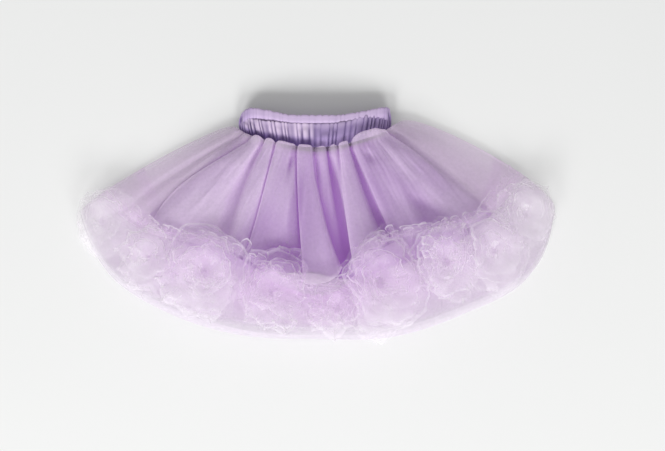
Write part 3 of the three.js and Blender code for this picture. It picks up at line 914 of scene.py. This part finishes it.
class SKIRT_OT_hem_tier(SkirtOperator, bpy.types.Operator):
    """Sheer tier below the heading: two puffed layers in front, with a turned hem, and one behind"""

    bl_idname = "skirt.hem_tier"
    bl_label = "Hem tier"

    def make(self, sizes, colours):
        finish = net_finish("tier_tulle", colours.tier, colours.tier_edge, sizes.net_pitch, 0.5)
        hem = 1 - sizes.hem / MM / TIER_LENGTH

        def layer(seed, lower, opacity):
            def place(a, q):
                u = 2 * a - 1
                wave = math.cos(math.pi * 2 * TIER_WAVES * (u + 1) + 2.5 * streak(q * 0.6, u, 6, seed))
                wave = 0.6 * wave + 0.9 * streak(q * 1.2, u, 24, seed + 3)
                x, y, z = tier_point(u, q, wave, lower)
                crush = ridged((x, y, 0), 34, seed) * TIER_CRUSH[0]
                crush += ridged((x, y, 0), 13, seed + 2) * TIER_CRUSH[1]
                loose = smooth(q, 0, 0.2) * (1 - smooth(q, 0.86, 0.99)) * crown(u)
                z = max(z + (crush - CRUSH_LEVEL) * loose, TIER_LEAST)
                turned = smooth(q, hem - 0.004, hem + 0.004)
                veil = opacity * (1 + 1.3 * (1 - smooth(q, 0.0, 0.3)))
                veil += 0.08 * turned + 0.2 * smooth(q, 0.993, 0.998)
                sides = smooth(abs(u), 0.5, 0.85)
                return (x, y, z), veil * lerp(1.0, 0.6, sides), clamp(smooth(q, 0.4, 0.85) + 0.65 * sides)

            return place

        for name, seed, lower, opacity, nodes in (
            ("hem_tier_veil", 11.0, 0.0, 0.22, ["hem_tier_front"]),
            ("hem_tier_lower", 17.0, 6.0, 0.26, []),
        ):
            about = (finish, "ruffle_net", nodes, "outer_net_front")
            sew(name, (460, 56), (0.85, 0.105), layer(seed, lower, opacity), *about)

        def under(a, b):
            u = 2 * a - 1
            v = lerp(BACK_HEADING, BACK_HEM, b)
            x, y = plan(u, v, back=True)
            pleat = 0.8 * streak(v * 3, u, 40, 7.0)
            veil = lerp(0.62, 0.36, smooth(abs(u), 0.6, 0.9))
            pale = 0.4 + 0.5 * smooth(b, 0.95, 0.96)
            return (x, y, NET_WALL / 2 + clamp(pleat, -0.8, 0.9)), veil, pale

        about = (finish, "ruffle_net", ["hem_tier_back"], "floor")
        sew("hem_tier_under", (300, 40), (0.8, 0.11), under, *about)


FRILL_SEAM = 1.03  # where the frill is gathered, in lengths to the heading
FRILL_SPAN = 250  # length of the fan that its width is measured against
FRILL_SWAY = 0.016  # how far its loops swing sideways, as a share of the fan
FRILL_DRIFT = 2.4  # how far its lip is crumpled


class SKIRT_OT_heading(SkirtOperator, bpy.types.Operator):
    """Loose frilled heading that stands over the line where the tier is gathered on"""

    bl_idname = "skirt.heading"
    bl_label = "Heading frill"

    def make(self, sizes, colours):
        finish = net_finish("ruffle_tulle", colours.ruffle, colours.ruffle_edge_and_lit_side, sizes.net_pitch, 0.5)
        lip = sizes.lip / MM

        def frill(seed, count, wide, tall, opacity):
            def place(a, b):
                u = 2 * a - 1
                free = 1 - b
                loose = clamp(0.55 + 0.9 * noise.noise(Vector((u * 4.5, seed, 0))), 0.15, 1.2)
                phase = math.pi * count * (u + 1) + 6.0 * noise.noise(Vector((u * 6, seed, 5)))
                width = wide * (0.75 + 0.5 * noise.noise(Vector((u * 5, seed, 9))))
                down = heading_at(round(u, 5))
                s = FRILL_SEAM - free * width / (FRILL_SPAN * down) * (0.66 + 0.5 * loose * math.cos(phase))
                across = clamp(u + FRILL_SWAY * free**1.5 * loose * math.sin(2 * phase), -1, 1)
                x, y = plan(across, down * s)
                lift = tall * math.sin(0.5 * math.pi * min(free * 1.3, 1)) * (0.65 + 0.35 * math.cos(phase + 0.8))
                z = outer_z(across, min(s, FRILL_END)) + NET_WALL + 1.0 + lift * crown(u)
                point = Vector((x, y, z)) + drift((x, y, z), 11, FRILL_DRIFT * free, seed)
                edge = smooth(free, 1 - 2.3 * lip / wide, 1 - 0.8 * lip / wide)
                edge *= 1 - 0.7 * smooth(abs(u), 0.68, 0.9)
                return point, opacity + 0.6 * edge, 0.45 + 0.55 * edge

            return place

        for name, seed, count, wide, tall, opacity in (
            ("heading_frill_upper", 2.0, 24, 24, 12, 0.15),
            ("heading_frill_lower", 6.0, 34, 15, 8, 0.17),
        ):
            flat = (0.8, max(0.6 * wide * MM, 0.01))
            place = frill(seed, count, wide, tall, opacity)
            sew(name, (1300, 16), flat, place, finish, "ruffle_net", [], "outer_net_front", steepest=0.3)


LAYER_STRIDE = 22.0  # shifts the crumpling of each turn, so that no two layers lie alike
FOOT_RADIUS = 0.1  # where a rosette's strip is gathered, as a share of its radius
SWIRL_CORE = 0.2  # radius of its innermost lip
SWIRL_EASE = 0.66  # below 1, the turns lie closer towards the rim
ROSETTE_SPREAD = 1.16  # the soft net reaches a little past the space between two solids
REACH_STEPS, REACH_BLEND = 72, 5  # directions that a rosette's outline is measured in
WAVES_A_TURN = 11.0  # ruffles of its lip
CORE_FRILL, RIM_FRILL = 0.9, 4.3  # how far they stand out, in the middle and more at the rim
LEAST_RADIUS = 9  # ruffles swing sideways no more than at this radius
MIDDLE_ASIDE = 0.22  # how far its middle lies off its centre
DOME, NEST = 0.72, 0.3  # how much its rim is lower, and how much its middle stands up
SEAT_GAP = 0.6  # between the rosette and the tier
NET_RISE = 3.0  # how far the outer net's crests stand over its mean height
PLEAT_HEIGHT = 1.3  # height of its fine pleats
CRUMPLES = (1.7, 0.5, 0.3)  # share of the crumpling that is coarse, fine and sharp
STRIP_REACH, STRIP_TALL = 0.45, 0.65  # mean radius and wall of the strip, in half widths
# The net of the rosettes towards the sides is this thin, from one place to the other
SHEER_SIDES, SHEER_START, SHEER_END = 0.7, 170, 290
SEAT_GRID = 4  # millimetres between the places where the tier's height is noted
SEAT_STEPS = (240, 60)


def reach_of(rosette, angle):
    """Radius of a rosette towards an angle: an ellipse, pressed in where it meets the next."""
    cosine, sine = math.cos(angle), math.sin(angle)
    radius = 1 / math.hypot(cosine / rosette["wide"], sine / rosette["long"])
    for other in ROSETTES:
        if other is rosette:
            continue
        dx, dy = other["x"] - rosette["x"], other["y"] - rosette["y"]
        apart = math.hypot(dx, dy)
        towards = (dx * cosine + dy * sine) / apart
        mine = apart * rosette["wide"] / (rosette["wide"] + other["wide"])
        if towards > 0:
            radius = min(radius, mine / towards)
    return radius * ROSETTE_SPREAD


@lru_cache(maxsize=None)
def tier_table():
    """Heights of the front of the skirt on a coarse net of places, for what is sewn on it."""
    found = {}
    across, along = SEAT_STEPS
    for i in range(across + 1):
        u = 2 * i / across - 1
        for j in range(along + 1):
            q = j / along
            net = (*plan(u, heading_at(round(u, 5)) * q), outer_z(u, q) + NET_RISE)
            for x, y, z in (tier_point(u, q, 0.0), net):
                key = (round(x / SEAT_GRID), round(y / SEAT_GRID))
                found[key] = max(found.get(key, 0.0), z)
    return found


@lru_cache(maxsize=None)
def height_at(x, y):
    """Height of the front under a place, from the nearest part of that table."""
    heights = tier_table()
    around = [(x + i, y + j) for i in (-1, 0, 1) for j in (-1, 0, 1)]
    near = [heights[place] for place in around if place in heights]
    return sum(near) / len(near) if near else SIDE_TOP


def seat(x, y):
    """Height of the front under a place, on an even slope between that table's places."""
    i, j = math.floor(x / SEAT_GRID), math.floor(y / SEAT_GRID)
    p, q = x / SEAT_GRID - i, y / SEAT_GRID - j
    low = lerp(height_at(i, j), height_at(i + 1, j), p)
    high = lerp(height_at(i, j + 1), height_at(i + 1, j + 1), p)
    return lerp(low, high, q)


def rosette_strip(k, spec, sizes):
    """What cloth needs of a rosette's strip, which is rolled up and ruffled at its lip."""
    crumple = sizes.crumple / MM
    lip = sizes.lip / MM
    coarse, fine, sharp = CRUMPLES
    seed = 3.7 * (k + 1)
    middle = seat(spec["x"], spec["y"])
    turns = spec["turns"]
    tall = 0.6 * spec["wide"]
    sheer = lerp(1.0, SHEER_SIDES, smooth(abs(spec["x"]), SHEER_START, SHEER_END))
    corners = [reach_of(spec, 2 * math.pi * i / REACH_STEPS) for i in range(REACH_STEPS)]
    reaches = [
        sum(corners[(i + near) % REACH_STEPS] for near in range(-REACH_BLEND, REACH_BLEND + 1))
        / (2 * REACH_BLEND + 1)
        for i in range(REACH_STEPS)
    ]

    def reach(angle):
        place = (angle / (2 * math.pi) % 1) * REACH_STEPS
        i = int(place)
        return lerp(reaches[i % REACH_STEPS], reaches[(i + 1) % REACH_STEPS], place - i)

    def waver(wound, pace, row):
        return noise.noise(Vector((wound * pace, seed, row)))

    def place(a, b):
        up = 1 - b
        wound = turns * a
        wander, petal = waver(wound, 1.1, 0), waver(wound, 2.3, 3)
        angle = 2 * math.pi * (spec["start"] + wound)
        angle += 0.5 * waver(wound, 1.3, 11) * (1 - up)
        ring = lerp(SWIRL_CORE, 1.0, a**SWIRL_EASE) * (1 + 0.22 * wander * (1.2 - a))
        around = Vector((math.cos(angle) * 1.5, math.sin(angle) * 1.5, 0.8 * wound + seed))
        ring *= 1 + 0.2 * noise.noise(around)
        foot = FOOT_RADIUS * smooth(a, 0, 0.3)
        out = foot + (ring - foot) * up ** (0.75 + 0.4 * petal)
        pleat = streak(up * 1.2, wound, 14, seed) + 0.6 * streak(up * 1.6, wound, 34, seed + 4)
        wave = 2 * math.pi * wound * WAVES_A_TURN + 7 * waver(wound, 1.9, 7)
        gathered = clamp(0.5 + 1.3 * waver(wound, 1.7, 13), 0.05, 1.4)
        frill = spec["frill"] * (CORE_FRILL + RIM_FRILL * ring) * smooth(up, 0.3, 1.0) ** 1.4 * gathered
        radius = reach(angle) * out + frill * math.sin(wave)
        angle += frill * 0.9 * math.sin(2 * wave) / max(radius, LEAST_RADIUS)
        aside = clamp(1 - out) * MIDDLE_ASIDE * spec["wide"]
        x = spec["x"] + math.cos(angle) * radius + aside * math.cos(seed)
        y = spec["y"] + math.sin(angle) * radius + aside * abs(math.sin(seed * 1.7))

        low = seat(x, y) + SEAT_GAP
        top = spec["height"] * (1.0 - DOME * ring**1.6) * (0.86 + 0.5 * petal)
        curl = math.sin(math.pi * clamp(lerp(0.55, 0.8, ring) * up))
        nest = NEST * spec["height"] * (1 - a) * (1 - 0.3 * up)
        high = lerp(low, max(low, middle), clamp(1 - out**2))
        point = Vector((x, y, high + nest + top * curl * up**0.35))
        point.z += PLEAT_HEIGHT * pleat * smooth(up, 0.05, 0.5)
        loose = 0.2 + 0.8 * up
        own = Vector((0, 0, LAYER_STRIDE * wound))
        point += drift(point + own, 38, crumple * coarse * loose, seed)
        point += drift(point + own, 17, crumple * fine * loose, seed + 5)
        point.z += crumple * sharp * ridged(point + own, 22, seed + 9) * loose
        point.y += spec["lean"] * max(point.z - low, 0) * 0.6
        point.z = max(point.z, low)

        folded = max(0.0, ridged(point + own, 21, seed + 2) + 0.45 * pleat - 0.25)
        bright = clamp(0.3 + 1.5 * waver(wound, 4.3, 17))
        edge = smooth(up, 1 - 2.6 * lip / tall, 1 - 0.7 * lip / tall)
        edge *= lerp(0.12, 1.0, bright) * lerp(0.22, 1.0, smooth(math.sin(angle), -0.8, 0.4))
        # Painted light: each rosette is paler on its hem side, which faces the lamps
        lit_side = 0.55 * smooth(spec["y"] - point.y, -0.3 * spec["long"], spec["long"])
        pale = spec["pale"] - 0.12 + lit_side + 0.25 * folded + 0.4 * edge
        return point, (0.105 + 0.15 * folded + 0.42 * edge) * sheer, clamp(pale)

    return place


class SKIRT_OT_rosettes(SkirtOperator, bpy.types.Operator):
    """Nine rosettes of crumpled net strips, rolled on themselves and sewn along the tier"""

    bl_idname = "skirt.rosettes"
    bl_label = "Rosettes"

    def make(self, sizes, colours):
        finish = bpy.data.materials["ruffle_tulle"]
        for k, spec in enumerate(ROSETTES):
            size = 0.5 * (spec["wide"] + spec["long"]) * MM
            flat = (2 * math.pi * spec["turns"] * STRIP_REACH * size, STRIP_TALL * size)
            grid = (int(spec["turns"] * 150), 20)
            about = (finish, "ruffle_net", [f"rosette_{k + 1}"], "hem_tier_veil")
            sew(f"rosette_roll_{k + 1}", grid, flat, rosette_strip(k, spec, sizes), *about, steepest=0.36)


# The photograph's frame: 665 by 451 pixels, 1.38 mm each on the skirt.
PIXEL = 0.00138
FRAME_PIXELS = (665, 451)
FRAME_CENTRE = (0.0214, -0.0021)
VIEW_HEIGHT = 2.23
SKIRT_LEVEL = 0.03  # height at which that scale holds
SENSOR = 36.0

FLOOR_REACH = 6.0
FLOOR_LEVEL = -0.0004
FLOOR_TINTS = ((0.785, 0.79, 0.785, 1.0), (0.803, 0.808, 0.803, 1.0))
WORLD_STRENGTH = 0.5
# Soft lamps on the hem's side: where they stand, how wide they are, and their watts
LAMPS = table(
    "name place size power",
    ("left key", (-2.9, -5.5, 4.2), 2.8, 330.0),
    ("right key", (1.9, -5.8, 4.2), 2.8, 265.0),
)


class SKIRT_OT_stage(SkirtOperator, bpy.types.Operator):
    """Pale floor, soft light from the hem's side and a camera straight above"""

    bl_idname = "skirt.stage"
    bl_label = "Floor, light and camera"

    def make(self, sizes, colours):
        scene = bpy.context.scene
        scene.view_settings.view_transform = "Standard"
        scene.cycles.transparent_max_bounces = 40
        scene.cycles.max_bounces = 24
        scene.cycles.diffuse_bounces = 20
        scene.cycles.transmission_bounces = 20
        self.floor()
        self.lights(scene)
        camera = bpy.data.cameras.new("camera")
        camera.sensor_width = SENSOR
        camera.lens = SENSOR * (VIEW_HEIGHT - SKIRT_LEVEL) / (PIXEL * FRAME_PIXELS[0])
        stand = bpy.data.objects.new("camera", camera)
        stand.location = (*FRAME_CENTRE, VIEW_HEIGHT)
        scene.collection.objects.link(stand)
        scene.camera = stand

    def floor(self):
        """Pale paper under the skirt."""
        bm = bmesh.new()
        bmesh.ops.create_grid(bm, x_segments=4, y_segments=4, size=FLOOR_REACH)
        mesh = bpy.data.meshes.new("floor")
        bm.to_mesh(mesh)
        bm.free()
        mesh.transform(Matrix.Translation((0, 0, FLOOR_LEVEL)))
        floor = bpy.data.objects.new("floor", mesh)
        bpy.context.scene.collection.objects.link(floor)
        f = Finish("floor_paper")
        inputs = {"Base Color": f.mix(f.mottle(3.0), *FLOOR_TINTS), "Roughness": 0.9}
        mesh.materials.append(f.done(f.add("ShaderNodeBsdfPrincipled", inputs).outputs[0]))

    def lights(self, scene):
        """Even white light all round, and the lamps."""
        world = bpy.data.worlds.new("studio")
        world.use_nodes = True
        background = world.node_tree.nodes["Background"]
        background.inputs["Color"].default_value = WHITE
        background.inputs["Strength"].default_value = WORLD_STRENGTH
        scene.world = world
        for row in LAMPS:
            light = bpy.data.lights.new(row["name"], "AREA")
            light.size = row["size"]
            light.energy = row["power"]
            lamp = bpy.data.objects.new(row["name"], light)
            lamp.location = row["place"]
            lamp.rotation_mode = "QUATERNION"
            lamp.rotation_quaternion = (-Vector(row["place"])).to_track_quat("-Z", "Y")
            scene.collection.objects.link(lamp)


class SKIRT_PT_pieces(bpy.types.Panel):
    """Sizes, colours and the pieces"""

    bl_idname = "SKIRT_PT_pieces"
    bl_label = "Tulle skirt"
    bl_space_type = "VIEW_3D"
    bl_region_type = "UI"
    bl_category = "Skirt"

    def draw(self, context):
        for group in (context.scene.skirt_sizes, context.scene.skirt_colours):
            column = self.layout.column(align=True)
            for name in group.bl_rna.properties.keys():
                if name not in ("rna_type", "name"):
                    column.prop(group, name)
        for operator in OPERATORS:
            self.layout.operator(operator.bl_idname)


OPERATORS = (
    SKIRT_OT_waistband,
    SKIRT_OT_lining,
    SKIRT_OT_outer_net,
    SKIRT_OT_hem_tier,
    SKIRT_OT_heading,
    SKIRT_OT_rosettes,
    SKIRT_OT_stage,
)
CLASSES = (SkirtSizes, SkirtColours, *OPERATORS, SKIRT_PT_pieces)


def register():
    for cls in CLASSES:
        bpy.utils.register_class(cls)
    bpy.types.Scene.skirt_sizes = PointerProperty(type=SkirtSizes)
    bpy.types.Scene.skirt_colours = PointerProperty(type=SkirtColours)


def unregister():
    del bpy.types.Scene.skirt_colours
    del bpy.types.Scene.skirt_sizes
    for cls in reversed(CLASSES):
        bpy.utils.unregister_class(cls)


def main():
    register()
    for operator in OPERATORS:
        group, name = operator.bl_idname.split(".")
        getattr(getattr(bpy.ops, group), name)()


if __name__ == "__main__":
    main()
